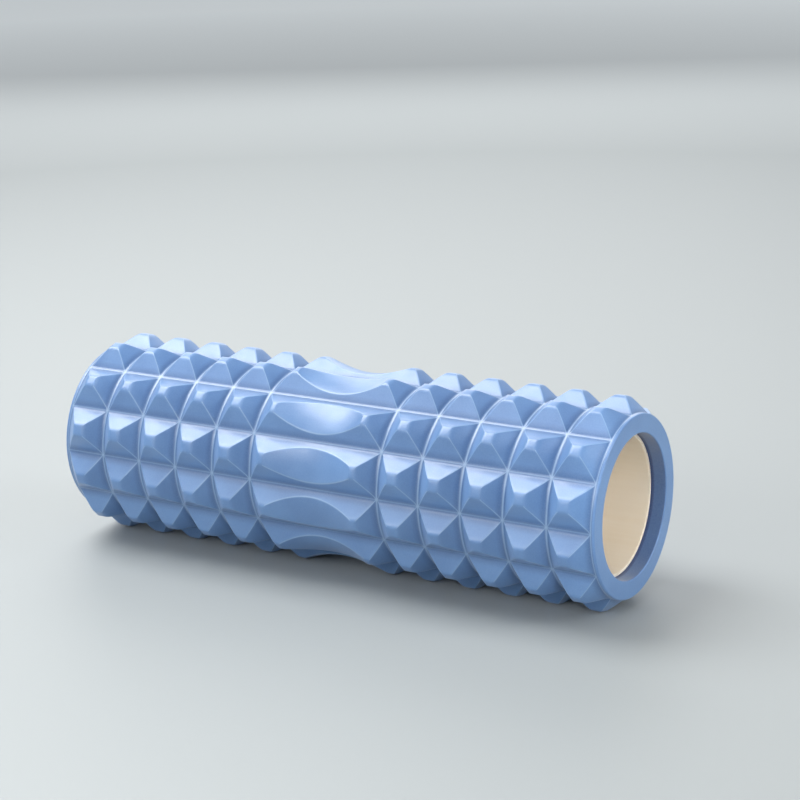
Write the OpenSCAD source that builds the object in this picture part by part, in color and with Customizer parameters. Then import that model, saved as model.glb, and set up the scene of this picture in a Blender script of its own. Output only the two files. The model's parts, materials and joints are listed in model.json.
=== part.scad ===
/* [Roller] */
// Length of the foam sleeve from end face to end face
roller_length = 300; // [280:1:340]
// Diameter over the tips of the studs
tip_diameter = 102; // [98:1:110]
// Rows of studs around the sleeve
stud_rows = 12; // [11:1:14]
// Studs on each side of the centre pad, in every row
studs_per_side = 5; // [4:1:6]

/* [Studs] */
// Height of a stud above the groove floors
stud_height = 7; // [5:0.5:9]
// Width of the flat tip of a stud
tip_flat = 5.6; // [4:0.2:7]
// Width of the flat floor of a groove
groove_floor = 1.8; // [0.8:0.1:2]

/* [Centre pad] */
// Length of the long pad in the middle of every row
pad_length = 72.5; // [64:0.5:80]
// Distance from a pad's end groove to the middle of its nearer peak
peak_inset = 10.2; // [9:0.1:12]
// Length of the flat top of a peak
peak_flat = 2.8; // [2:0.1:4]
// Height left above the groove floors in the middle of the saddle
saddle_height = 1.9; // [1:0.1:4]

/* [End faces] */
// Distance from an end face to the first ring groove
end_land = 1.5; // [1.2:0.1:2.5]
// Radial size of the bevel around an end face
end_bevel = 0.8; // [0.5:0.1:2.5]

/* [Core tube] */
// Outer diameter of the tube, which is also the bore of the foam sleeve
core_diameter = 69.5; // [60:0.5:74]
// Wall thickness of the tube
core_wall = 2; // [2:0.1:4]
// Depth of the tube's ends below the foam's end faces
core_recess = 7.5; // [4:0.5:12]
// Chamfer on the inner and outer edges of the tube's ends
core_chamfer = 0.5; // [0.3:0.1:0.8]

/* [Hidden] */
$fn = 144;
overcut = 1;

tip_radius = tip_diameter / 2;
groove_radius = tip_radius - stud_height;
half_length = roller_length / 2;
stud_pitch = (half_length - end_land - pad_length / 2) / studs_per_side;

// The saddle is an arc through the inner edges of both peaks and the saddle's middle
saddle_half_span = pad_length / 2 - peak_inset - peak_flat / 2;
saddle_depth = stud_height - saddle_height;
saddle_arc_radius = (pow(saddle_half_span, 2) + pow(saddle_depth, 2)) / (2 * saddle_depth);
saddle_arc_centre = groove_radius + saddle_height + saddle_arc_radius;

core_half_length = half_length - core_recess;
core_outer_radius = core_diameter / 2;
core_inner_radius = core_outer_radius - core_wall;

// Turns a shape made about Z so that its axis lies along X
module along_x() { rotate([0, 90, 0]) children(); }

// Outline of one stud from its first groove to its last, as [radius, position along the axis]
function stud_outline(start) = [
    [groove_radius, start + groove_floor / 2],
    [tip_radius, start + (stud_pitch - tip_flat) / 2],
    [tip_radius, start + (stud_pitch + tip_flat) / 2],
    [groove_radius, start + stud_pitch - groove_floor / 2]
];

// Outline of the centre pad, before its saddle is cut
function pad_outline() = [
    [groove_radius, -pad_length / 2 + groove_floor / 2],
    [tip_radius, -pad_length / 2 + peak_inset - peak_flat / 2],
    [tip_radius, pad_length / 2 - peak_inset + peak_flat / 2],
    [groove_radius, pad_length / 2 - groove_floor / 2]
];

// Outlines of all the studs on one side of the pad, the first one starting at a given place
function side_outline(start) = [
    for (i = [0:studs_per_side - 1]) each stud_outline(start + i * stud_pitch)
];

// Half of the sleeve's long section, from end face to end face
module long_section() {
    polygon(concat(
        [[0, -half_length], [groove_radius - end_bevel, -half_length]],
        [[groove_radius, -half_length + end_land - groove_floor / 2]],
        side_outline(-half_length + end_land),
        pad_outline(),
        side_outline(pad_length / 2),
        [[groove_radius, half_length - end_land + groove_floor / 2]],
        [[groove_radius - end_bevel, half_length], [0, half_length]]
    ));
}

// Cross section with one tooth for each row, and a groove on +X
module cross_section() {
    polygon([
        for (row = [0:stud_rows - 1], point = [
            [groove_radius, groove_floor / 2, 0],
            [tip_radius, -tip_flat / 2, 0.5],
            [tip_radius, tip_flat / 2, 0.5],
            [groove_radius, -groove_floor / 2, 1]
        ]) let (turn = (row + point[2]) * 360 / stud_rows) [
            point[0] * cos(turn) - point[1] * sin(turn),
            point[0] * sin(turn) + point[1] * cos(turn)
        ]
    ]);
}

// Ring that cuts the saddles of all the rows at once
module saddle_ring() {
    rotate_extrude() translate([saddle_arc_centre, 0]) circle(r = saddle_arc_radius);
}

// Moulded foam sleeve: each stud is where a row and a ring of the pattern cross
module foam_sleeve() {
    color("cornflowerblue") along_x() difference() {
        intersection() {
            rotate_extrude() long_section();
            linear_extrude(height = roller_length + 2 * overcut, center = true) cross_section();
        }
        saddle_ring();
        cylinder(h = roller_length + 2 * overcut, r = core_outer_radius, center = true);
    }
}

// Rigid tube that the sleeve is bonded to, set back from both end faces
module core_tube() {
    color("wheat") along_x() rotate_extrude() polygon([
        [core_inner_radius, -core_half_length + core_chamfer],
        [core_inner_radius + core_chamfer, -core_half_length],
        [core_outer_radius - core_chamfer, -core_half_length],
        [core_outer_radius, -core_half_length + core_chamfer],
        [core_outer_radius, core_half_length - core_chamfer],
        [core_outer_radius - core_chamfer, core_half_length],
        [core_inner_radius + core_chamfer, core_half_length],
        [core_inner_radius, core_half_length - core_chamfer]
    ]);
}

foam_sleeve();
core_tube();
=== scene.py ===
"""Foam roller: its moulded foam sleeve and its core tube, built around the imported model.

The scene is in metres. The outlines of both pieces are worked out in millimetres, like those of the CAD
model, and become metres when their meshes are made.
"""
import json
import math
import bpy
import numpy as np
from mathutils import Euler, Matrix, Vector


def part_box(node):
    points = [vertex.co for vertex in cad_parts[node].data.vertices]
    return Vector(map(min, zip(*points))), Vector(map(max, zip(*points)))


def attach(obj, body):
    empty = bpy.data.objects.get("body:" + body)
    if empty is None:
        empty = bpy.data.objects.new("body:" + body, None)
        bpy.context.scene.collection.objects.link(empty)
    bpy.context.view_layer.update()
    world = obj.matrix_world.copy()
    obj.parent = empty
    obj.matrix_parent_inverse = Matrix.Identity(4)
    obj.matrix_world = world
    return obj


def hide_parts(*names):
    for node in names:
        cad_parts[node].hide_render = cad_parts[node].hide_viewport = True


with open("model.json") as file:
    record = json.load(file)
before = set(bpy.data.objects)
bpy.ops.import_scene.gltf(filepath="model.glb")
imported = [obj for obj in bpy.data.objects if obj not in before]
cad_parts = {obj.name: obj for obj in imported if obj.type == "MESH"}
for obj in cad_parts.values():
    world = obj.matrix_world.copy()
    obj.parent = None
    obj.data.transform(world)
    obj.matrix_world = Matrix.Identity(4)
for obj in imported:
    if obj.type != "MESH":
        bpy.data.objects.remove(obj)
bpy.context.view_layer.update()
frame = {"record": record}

MM = 0.001

# The sleeve's pattern, in millimetres, as the CAD model has it
STUD_ROWS = 12
STUDS_PER_SIDE = 5
STUD_HEIGHT = 7.0
TIP_FLAT = 5.6
GROOVE_FLOOR = 1.8
PAD_LENGTH = 72.5
PEAK_INSET = 10.2
PEAK_FLAT = 2.8
SADDLE_HEIGHT = 1.9
END_LAND = 1.5
END_BEVEL = 0.8

# Sizes that the frame gives, in millimetres
_, sleeve_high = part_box("foam_sleeve")
_, tube_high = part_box("core_tube")
mounts = {mount["name"]: mount for mount in frame["record"]["mounts"]}
HALF_LENGTH = sleeve_high.x / MM
TUBE_HALF_LENGTH = tube_high.x / MM
TUBE_RADIUS = tube_high.z / MM
BORE_RADIUS = mounts["core_bore"]["dims"]["r_mm"]
ROW_HALF_ANGLE = math.pi / STUD_ROWS
# The sleeve is as high as the corners of the tips on the two rows beside its top groove
TIP_RADIUS = (sleeve_high.z / MM - TIP_FLAT / 2 * math.sin(ROW_HALF_ANGLE)) / math.cos(ROW_HALF_ANGLE)
GROOVE_RADIUS = TIP_RADIUS - STUD_HEIGHT
PITCH = (HALF_LENGTH - END_LAND - PAD_LENGTH / 2) / STUDS_PER_SIDE

# How far the moulded edges of the pattern round off, as a share of the stud height
RIDGE_ROUND = 0.07
TIP_ROUND = 0.2
FLOOR_ROUND = 0.08
SADDLE_ROUND = 0.03

# Radii of the rounded edges at each end, in millimetres; the sleeve's rim is as round as END_BEVEL is wide
MOUTH_ROUND = 0.6
TUBE_OUTER_ROUND = 1.1
TUBE_INNER_ROUND = 0.4
# Direction in degrees, from the axis, in which the rim's arc starts beside the last groove's floor
RIM_STARTS = 84

# Edge loops of the mesh, as shares of the way from the middle of a groove to its edge, then up a flank to
# the edge of the top, and then to the middle of the top
FLOOR_STEPS = (0, 0.6)
FLANK_STEPS = (0, 0.025, 0.06, 0.11, 0.2, 0.35, 0.5, 0.65, 0.8, 0.88, 0.93, 0.965, 1)
TOP_STEPS = (0.08, 0.2, 0.4, 0.7, 1)
SADDLE_RINGS = 48
TUBE_SEGMENTS = 256
# Rings in a groove get the columns of studs that are cut off at this height, in stud heights
LOWEST_TOP = 0.04
# Edge loops beside the rounded edges keep the faces next to them flat. Their distances in millimetres, the
# first two from the rounded edge and the last one from the tube's end
FACE_LOOP = 0.3
MOUTH_LOOP = 0.8
TUBE_LOOP = 2

# Shade on the bore's wall, from 0 to 1, which deepens between two distances from the tube, in millimetres
WALL_SHADE = 0.45
TUBE_SHADE = 0.95
SHADE_STARTS = 1.5
SHADE_IS_FULL = 0.8
# A point this close to the bore's radius is part of its wall, in millimetres
WALL_MARGIN = 0.1
# Relief and gap of the plain faces, large enough to keep the painted shade and painted highlights of
# grooves and ridges off them
PLAIN = 0.5


def smooth_min(a, b, k):
    """The lower of a and b, rounded off where they are within k of each other."""
    return np.minimum(a, b) - np.maximum(k - np.abs(a - b), 0) ** 2 / (4 * k)


def smooth_max(a, b, k):
    """The higher of a and b, rounded off where they are within k of each other."""
    return -smooth_min(-a, -b, k)


# --- Cross section: angle from a groove, and height there ---

flank_foot = np.array([GROOVE_RADIUS, GROOVE_FLOOR / 2])
tip_corner = np.array([
    TIP_RADIUS * math.cos(ROW_HALF_ANGLE) + TIP_FLAT / 2 * math.sin(ROW_HALF_ANGLE),
    TIP_RADIUS * math.sin(ROW_HALF_ANGLE) - TIP_FLAT / 2 * math.cos(ROW_HALF_ANGLE),
])
flank_run = tip_corner - flank_foot
flank_normal_angle = math.atan2(-flank_run[0], flank_run[1])
flank_offset = flank_foot @ np.array([math.cos(flank_normal_angle), math.sin(flank_normal_angle)])


def row_height(angle):
    """Height of a row's flank above the grooves, in stud heights, at an angle from the groove beside it."""
    radius = flank_offset / np.cos(angle - flank_normal_angle)
    return (radius - GROOVE_RADIUS) / STUD_HEIGHT


def row_angle(height):
    """The angle from the groove at which a row's flank has that height."""
    radius = GROOVE_RADIUS + height * STUD_HEIGHT
    return flank_normal_angle + np.arccos(flank_offset / radius)


def around(top):
    """Angles of the mesh's columns round the sleeve, on rings where the studs are cut off at those heights.

    A column runs along the edge where the flanks meet the top, so that every ridge is a line of the mesh.
    """
    foot = row_angle(np.zeros_like(top))
    edge = row_angle(top)
    half = [foot * s for s in FLOOR_STEPS]
    half += [row_angle(top * s) for s in FLANK_STEPS]
    half += [edge + (ROW_HALF_ANGLE - edge) * s for s in TOP_STEPS]
    one_row = half + [2 * ROW_HALF_ANGLE - a for a in reversed(half[1:-1])]
    return np.stack([row * 2 * ROW_HALF_ANGLE + a for row in range(STUD_ROWS) for a in one_row], axis=1)


# --- Long section: place along the axis, and height there ---

stud_flank = (PITCH - TIP_FLAT - GROOVE_FLOOR) / 2
peak_flank = PEAK_INSET - (PEAK_FLAT + GROOVE_FLOOR) / 2
saddle_half_span = PAD_LENGTH / 2 - PEAK_INSET - PEAK_FLAT / 2
saddle_depth = STUD_HEIGHT - SADDLE_HEIGHT
saddle_radius = (saddle_half_span ** 2 + saddle_depth ** 2) / (2 * saddle_depth)


def half_stud_places(flank, middle):
    """Distances of the mesh's rings from a ring groove to the middle of a stud or of a peak."""
    foot = GROOVE_FLOOR / 2
    places = [foot * s for s in FLOOR_STEPS]
    places += [foot + flank * s for s in FLANK_STEPS]
    places += [foot + flank + (middle - foot - flank) * s for s in TOP_STEPS]
    return places


def flank_height(distance, flank):
    """Height of a flank at a distance from its groove, in stud heights; it carries on past the top."""
    return (distance - GROOVE_FLOOR / 2) / flank


def saddle_height(x):
    """Height of the saddle's arc above the grooves, in stud heights."""
    inside = np.maximum(saddle_radius ** 2 - np.square(x), 0)
    return (SADDLE_HEIGHT + saddle_radius - np.sqrt(inside)) / STUD_HEIGHT


def along():
    """Place of every mesh ring between the end faces, its flank's height, and the height of its top."""
    half_stud = half_stud_places(stud_flank, PITCH / 2)
    stud = half_stud + [PITCH - distance for distance in reversed(half_stud[:-1])]
    peak = half_stud_places(peak_flank, PEAK_INSET)[1:]
    for i in range(SADDLE_RINGS):
        # Rings lie closer together at the steep ends of the saddle
        peak.append(PAD_LENGTH / 2 - saddle_half_span * math.cos(math.pi / 2 * i / SADDLE_RINGS))
    rings = []
    for side in (-1, 1):
        for i in range(STUDS_PER_SIDE):
            inner_end = PAD_LENGTH / 2 + i * PITCH
            for distance in stud[1:-1]:
                height = flank_height(min(distance, PITCH - distance), stud_flank)
                rings.append((side * (inner_end + distance), height, 1))
        for i in range(STUDS_PER_SIDE + 1):
            rings.append((side * (PAD_LENGTH / 2 + i * PITCH), flank_height(0, stud_flank), 1))
        for distance in peak:
            x = PAD_LENGTH / 2 - distance
            rings.append((side * x, flank_height(distance, peak_flank), saddle_height(x)))
    rings.append((0, flank_height(PAD_LENGTH / 2, peak_flank), saddle_height(0)))
    return np.array(sorted(rings)).T


def sleeve_profile():
    """The sleeve's studded outside: places along the axis, angles, heights, and relief and gap, which place
    the painted shade and painted highlights.

    Relief is the height before any rounding, so it is below 0 in a groove. Gap is 0 on a ridge and grows
    away from it. A ridge is where two flanks meet, or a flank and the saddle; the edge of a flat tip isn't
    one. Heights, relief and gap are in stud heights.
    """
    x, ring, cut = along()
    ring, cut = ring[:, None], cut[:, None]
    top = np.clip(np.minimum(np.minimum(ring, cut), 1), LOWEST_TOP, 1)
    angles = around(top[:, 0])
    beside = np.minimum(angles % (2 * ROW_HALF_ANGLE), -angles % (2 * ROW_HALF_ANGLE))
    row = row_height(beside)
    ridge = smooth_min(ring, row, RIDGE_ROUND)
    height = smooth_min(smooth_min(ridge, 1.0, TIP_ROUND), cut, SADDLE_ROUND)
    height = smooth_max(height, 0.0, FLOOR_ROUND)
    parts = np.sort(np.stack(np.broadcast_arrays(ring, row, np.minimum(cut, 1))), axis=0)
    relief = parts[0]
    gap_at_saddle = parts[1] - parts[0]
    gap_at_stud = np.abs(ring - row) + 2 * np.maximum(np.minimum(ring, row) - 1, 0)
    return x, angles, height, relief, np.where(cut < 1, gap_at_saddle, gap_at_stud)


# --- Meshes ---

def add_object(name, data):
    """A new object with that data, linked to the scene."""
    thing = bpy.data.objects.new(name, data)
    bpy.context.scene.collection.objects.link(thing)
    return thing


def add_piece(name, place, radius, turn):
    """A smooth piece made of rings, from arrays with a row for each ring, in millimetres and radians.

    Place is the distance along the axis, radius the distance from it, and turn the angle round it from
    straight down. The last ring joins the first one, so the piece has no open edge.
    """
    points = np.stack([place, -radius * np.cos(turn), radius * np.sin(turn)], axis=-1) * MM
    rings, columns = place.shape
    faces = []
    for ring in range(rings):
        start = ring * columns
        next_start = (ring + 1) % rings * columns
        for column in range(columns):
            beside = (column + 1) % columns
            faces.append((start + column, start + beside, next_start + beside, next_start + column))
    mesh = bpy.data.meshes.new(name)
    mesh.from_pydata(points.reshape(-1, 3).tolist(), [], faces)
    mesh.validate()
    mesh.shade_smooth()
    return add_object(name, mesh)


def arc(centre, radius, start, end, steps):
    """Points (along, radius) on a circular arc, angles in degrees from the axis direction."""
    angles = np.radians(np.linspace(start, end, steps))
    return [(centre[0] + radius * math.cos(a), centre[1] + radius * math.sin(a)) for a in angles]


def sleeve_end():
    """Points (along, radius) of the sleeve's plain part, from its right rim to the middle of the bore."""
    rim_radius = GROOVE_RADIUS - END_BEVEL
    mouth_radius = TUBE_RADIUS + MOUTH_ROUND
    points = arc((HALF_LENGTH - END_BEVEL, rim_radius), END_BEVEL, RIM_STARTS, 0, steps=7)
    points += [(HALF_LENGTH, rim_radius - FACE_LOOP), (HALF_LENGTH, mouth_radius + FACE_LOOP)]
    points += arc((HALF_LENGTH - MOUTH_ROUND, mouth_radius), MOUTH_ROUND, 0, -90, steps=6)
    points.append((HALF_LENGTH - MOUTH_ROUND - MOUTH_LOOP, TUBE_RADIUS))
    points.append((TUBE_HALF_LENGTH + SHADE_STARTS, TUBE_RADIUS))
    points.append((TUBE_HALF_LENGTH + SHADE_IS_FULL, TUBE_RADIUS))
    points.append((0, TUBE_RADIUS))
    return points


def build_sleeve():
    """The sleeve: its studded outside, rounded rims, end faces and the bore that the tube fills."""
    x, angles, height, relief, gap = sleeve_profile()
    right = sleeve_end()
    left = [(-place, radius) for place, radius in reversed(right[:-1])]
    plain_x, plain_radius = np.array(right + left).T
    in_bore = plain_radius < TUBE_RADIUS + WALL_MARGIN
    by_tube = np.abs(plain_x) < TUBE_HALF_LENGTH + (SHADE_STARTS + SHADE_IS_FULL) / 2
    plain_shade = np.where(by_tube, TUBE_SHADE, WALL_SHADE) * in_bore

    columns = angles.shape[1]
    plain = np.ones((len(plain_x), columns))
    place = np.repeat(np.concatenate([x, plain_x])[:, None], columns, axis=1)
    radius = np.concatenate([GROOVE_RADIUS + STUD_HEIGHT * height, plain_radius[:, None] * plain])
    turn = np.concatenate([angles, angles[-1] * plain])
    piece = add_piece("foam_sleeve_body", place, radius, turn)

    # Attributes that place the painted shade and painted highlights: relief and gap on the studded outside,
    # and shade on the bore's wall
    paint = {
        "relief": np.concatenate([relief, PLAIN * plain]),
        "gap": np.concatenate([gap, PLAIN * plain]),
        "shade": np.concatenate([np.zeros_like(height), plain_shade[:, None] * plain]),
    }
    for name, values in paint.items():
        attribute = piece.data.attributes.new(name, "FLOAT", "POINT")
        attribute.data.foreach_set("value", values.astype(np.float32).reshape(-1))
    return piece


def build_tube():
    """The core tube, with rounded rims."""
    outer_centre = (TUBE_HALF_LENGTH - TUBE_OUTER_ROUND, TUBE_RADIUS - TUBE_OUTER_ROUND)
    inner_centre = (TUBE_HALF_LENGTH - TUBE_INNER_ROUND, BORE_RADIUS + TUBE_INNER_ROUND)
    right = [(0, TUBE_RADIUS), (TUBE_HALF_LENGTH - TUBE_LOOP, TUBE_RADIUS)]
    right += arc(outer_centre, TUBE_OUTER_ROUND, 90, 0, steps=8)
    right += arc(inner_centre, TUBE_INNER_ROUND, 0, -90, steps=6)
    right += [(TUBE_HALF_LENGTH - TUBE_LOOP, BORE_RADIUS), (0, BORE_RADIUS)]
    left = [(-place, radius) for place, radius in reversed(right[1:-1])]
    section = np.array(right + left)
    turn = np.linspace(0, 2 * math.pi, TUBE_SEGMENTS, endpoint=False)
    place, turn = np.broadcast_arrays(section[:, :1], turn)
    return add_piece("core_tube_body", place, section[:, 1:], turn)


# --- Materials ---

class Nodes:
    """A material's node tree, with short calls to add and join nodes."""

    def __init__(self, name):
        self.material = bpy.data.materials.new(name)
        self.material.use_nodes = True
        self.tree = self.material.node_tree
        self.shader = self.tree.nodes["Principled BSDF"]

    def add(self, kind, **settings):
        """A new node, with settings of the node itself or values of its inputs."""
        node = self.tree.nodes.new(kind)
        for key, value in settings.items():
            if hasattr(node, key):
                setattr(node, key, value)
            else:
                node.inputs[key].default_value = value
        return node

    def join(self, source, target):
        self.tree.links.new(source, target)

    def place(self):
        """Place in the piece's own coordinates, in metres."""
        return self.add("ShaderNodeTexCoord").outputs["Object"]

    def attribute(self, name):
        return self.add("ShaderNodeAttribute", attribute_name=name).outputs["Fac"]

    def noise(self, where, scale, detail, roughness=0.5):
        node = self.add("ShaderNodeTexNoise", Scale=scale, Detail=detail, Roughness=roughness)
        self.join(where, node.inputs["Vector"])
        return node.outputs["Fac"]

    def remap(self, value, span, target):
        """Value moved from one span to another, and held at the target's ends outside the span."""
        node = self.add("ShaderNodeMapRange")
        for key, number in zip(("From Min", "From Max", "To Min", "To Max"), (*span, *target)):
            node.inputs[key].default_value = number
        self.join(value, node.inputs["Value"])
        return node.outputs["Result"]

    def mix(self, factor, a, b):
        """Colour between a and b; each of them is a colour or another node's output."""
        node = self.add("ShaderNodeMix", data_type="RGBA")
        # The mix node has a set of sockets for each type of data, and these are the ones for colours
        for value, socket in ((factor, node.inputs[0]), (a, node.inputs[6]), (b, node.inputs[7])):
            if isinstance(value, bpy.types.NodeSocket):
                self.join(value, socket)
            else:
                socket.default_value = value
        return node.outputs[2]

    def bump(self, height, distance, strength, normal=None):
        node = self.add("ShaderNodeBump", Distance=distance, Strength=strength)
        self.join(height, node.inputs["Height"])
        if normal is not None:
            self.join(normal, node.inputs["Normal"])
        return node.outputs["Normal"]


def foam_material():
    """Satin blue foam, with painted shade beside the grooves, painted highlights in them and on ridges, and
    painted shade round the tube.
    """
    n = Nodes("moulded_blue_foam")
    base = (0.112, 0.243, 0.492, 1)
    deep = (0.089, 0.205, 0.438, 1)
    # The colour of the painted shade beside the grooves
    dark = (0.030, 0.090, 0.240, 1)
    shaded = (0.003, 0.030, 0.150, 1)
    # A pale colour for the painted highlights on ridges and in grooves, and for the foam's fine specks
    pale = (0.350, 0.500, 0.680, 1)
    where = n.place()
    relief = n.attribute("relief")

    clouds = n.remap(n.noise(where, scale=45, detail=3), (0.35, 0.65), (0, 1))
    # Painted shade beside the grooves: darkest where the flanks meet a groove, and gone at 0.3 of a stud's
    # height
    crease_shade = n.remap(relief, (0.0, 0.3), (0.6, 0))
    # Painted highlight: a thin pale line along each ridge, where two flanks meet or a flank meets the
    # saddle
    ridge = n.remap(n.attribute("gap"), (0.0, 0.06), (0.55, 0))
    # Painted highlight: the floor of each groove is tinted pale
    groove = n.remap(relief, (-0.09, -0.04), (0.45, 0))
    specks = n.remap(n.noise(where, scale=1600, detail=2), (0.3, 0.7), (0, 0.10))
    colour = n.mix(clouds, deep, base)
    colour = n.mix(crease_shade, colour, dark)
    colour = n.mix(ridge, colour, pale)
    colour = n.mix(groove, colour, pale)
    colour = n.mix(n.attribute("shade"), colour, shaded)
    colour = n.mix(specks, colour, pale)
    n.join(colour, n.shader.inputs["Base Color"])

    # Any smoother, and the denoiser takes spots of the foam for a mirror and leaves dark specks on them
    roughness = n.remap(n.noise(where, scale=180, detail=4), (0.3, 0.7), (0.29, 0.40))
    n.join(roughness, n.shader.inputs["Roughness"])
    grain = n.noise(where, scale=2200, detail=2)
    skin = n.noise(where, scale=320, detail=4, roughness=0.6)
    normal = n.bump(grain, distance=0.00003, strength=0.4)
    normal = n.bump(skin, distance=0.0001, strength=0.4, normal=normal)
    n.join(normal, n.shader.inputs["Normal"])
    n.shader.inputs["Specular IOR Level"].default_value = 1.0
    n.shader.inputs["Sheen Weight"].default_value = 0.2
    n.shader.inputs["Sheen Roughness"].default_value = 0.45
    n.shader.inputs["Sheen Tint"].default_value = (0.75, 0.86, 1.0, 1)
    return n.material


def tube_material():
    """Smooth cream plastic, with faint cloudiness and faint lines along the tube from its extrusion."""
    n = Nodes("matt_cream_plastic")
    cream = (0.84, 0.73, 0.57, 1)
    light_cream = (0.88, 0.78, 0.63, 1)
    streak = (0.92, 0.84, 0.72, 1)
    where = n.place()
    stretched = n.add("ShaderNodeMapping", Scale=(6, 220, 220))
    n.join(where, stretched.inputs["Vector"])
    lines = n.noise(stretched.outputs["Vector"], scale=1.6, detail=3)
    clouds = n.noise(where, scale=30, detail=3)

    colour = n.mix(n.remap(clouds, (0.3, 0.7), (0, 1)), cream, light_cream)
    colour = n.mix(n.remap(lines, (0.35, 0.65), (0, 0.25)), colour, streak)
    n.join(colour, n.shader.inputs["Base Color"])
    n.join(n.remap(clouds, (0.3, 0.7), (0.42, 0.55)), n.shader.inputs["Roughness"])
    n.join(n.bump(lines, distance=0.00006, strength=0.6), n.shader.inputs["Normal"])
    return n.material


def floor_material():
    """A pale floor that gets lighter, and glows a little, far away, where the lights don't reach."""
    n = Nodes("pale_floor")
    near_colour = (0.35, 0.375, 0.375, 1)
    far_colour = (0.82, 0.86, 0.86, 1)
    no_glow = (0, 0, 0, 1)
    far_glow = (0.12, 0.13, 0.13, 1)
    distance = n.add("ShaderNodeVectorMath", operation="LENGTH")
    n.join(n.place(), distance.inputs[0])
    far = n.remap(distance.outputs["Value"], (1.2, 2.6), (0, 1))
    n.join(n.mix(far, near_colour, far_colour), n.shader.inputs["Base Color"])
    n.join(n.mix(far, no_glow, far_glow), n.shader.inputs["Emission Color"])
    n.shader.inputs["Emission Strength"].default_value = 1.0
    n.shader.inputs["Roughness"].default_value = 0.55
    return n.material


# --- The object ---

sleeve = build_sleeve()
sleeve.data.materials.append(foam_material())
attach(sleeve, "root")
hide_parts("foam_sleeve")

tube = build_tube()
tube.data.materials.append(tube_material())
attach(tube, "root")
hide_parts("core_tube")

# --- Floor ---

FLOOR_REACH = 6.0
floor_level = min(vertex.co.z for vertex in sleeve.data.vertices)
floor_corners = [
    (-FLOOR_REACH, -FLOOR_REACH, floor_level),
    (FLOOR_REACH, -FLOOR_REACH, floor_level),
    (FLOOR_REACH, FLOOR_REACH, floor_level),
    (-FLOOR_REACH, FLOOR_REACH, floor_level),
]
floor_mesh = bpy.data.meshes.new("floor")
floor_mesh.from_pydata(floor_corners, [], [(0, 1, 2, 3)])
floor_mesh.materials.append(floor_material())
floor = add_object("floor", floor_mesh)


# --- Lights ---

def area_light(name, place, size, radiance, aim=(0, 0, 0)):
    """A rectangular softbox of that size and radiance, in W/(m2 sr), which faces the roller or its aim."""
    data = bpy.data.lights.new(name, "AREA")
    data.shape = "RECTANGLE"
    data.size, data.size_y = size
    data.energy = math.pi * size[0] * size[1] * radiance
    light = add_object(name, data)
    light.location = place
    light.rotation_euler = (Vector(aim) - light.location).to_track_quat("-Z", "Y").to_euler()


area_light("key", place=(-0.64, -0.05, 1.10), size=(0.8, 1.0), radiance=6.5)
area_light("key_back", place=(-0.75, 1.25, 0.75), size=(1.3, 1.0), radiance=2.2)
area_light("key_front", place=(-0.80, -1.05, 0.95), size=(0.8, 0.7), radiance=0.5)
area_light("top_front", place=(0.28, -0.48, 1.15), size=(0.45, 0.45), radiance=1.6)
area_light("right", place=(1.5, 0.4, 0.7), size=(0.7, 0.7), radiance=5.8)
floor_aim = (-0.1, -0.7, floor_level)
area_light("floor_wash", place=(-0.1, -0.80, 0.40), size=(1.0, 0.35), radiance=4.3, aim=floor_aim)

# A narrow beam into the right end, which brightens the tube's lining as in the photo
bore_light = add_object("bore_light", bpy.data.lights.new("bore_light", "SPOT"))
bore_light.data.energy = 76
bore_light.data.spot_size = math.radians(3.4)
bore_light.data.spot_blend = 0.6
bore_light.data.shadow_soft_size = 0.05
bore_light.visible_glossy = False
bore_light.location = (1.15, -0.85, 0.45)
bore_aim = Vector((tube_high.x, 0, 0)) - bore_light.location
bore_light.rotation_euler = bore_aim.to_track_quat("-Z", "Y").to_euler()

world = bpy.data.worlds.new("studio")
world.use_nodes = True
background = world.node_tree.nodes["Background"]
background.inputs["Color"].default_value = (0.92, 0.95, 1.0, 1)
background.inputs["Strength"].default_value = 0.5
bpy.context.scene.world = world
bpy.context.scene.view_settings.view_transform = "Standard"

# --- Camera ---

# It stands in front, to the right and a little above, and is tilted slightly. In its view, the roller's
# middle is this far from the picture's middle, in metres
CAMERA_AZIMUTH = math.radians(31.02)
CAMERA_ELEVATION = math.radians(15.93)
CAMERA_ROLL = math.radians(-1.54)
CAMERA_DISTANCE = 1.1198
ROLLER_RIGHT = -0.01997
ROLLER_UP = -0.03186

camera = add_object("camera", bpy.data.cameras.new("camera"))
camera.data.lens = 101.5
camera.data.sensor_width = 36.0
turn = Euler((math.pi / 2 - CAMERA_ELEVATION, 0, CAMERA_AZIMUTH)).to_matrix()
turn = turn @ Euler((0, 0, CAMERA_ROLL)).to_matrix()
camera.location = turn @ Vector((-ROLLER_RIGHT, -ROLLER_UP, CAMERA_DISTANCE))
camera.rotation_euler = turn.to_euler()
bpy.context.scene.camera = camera
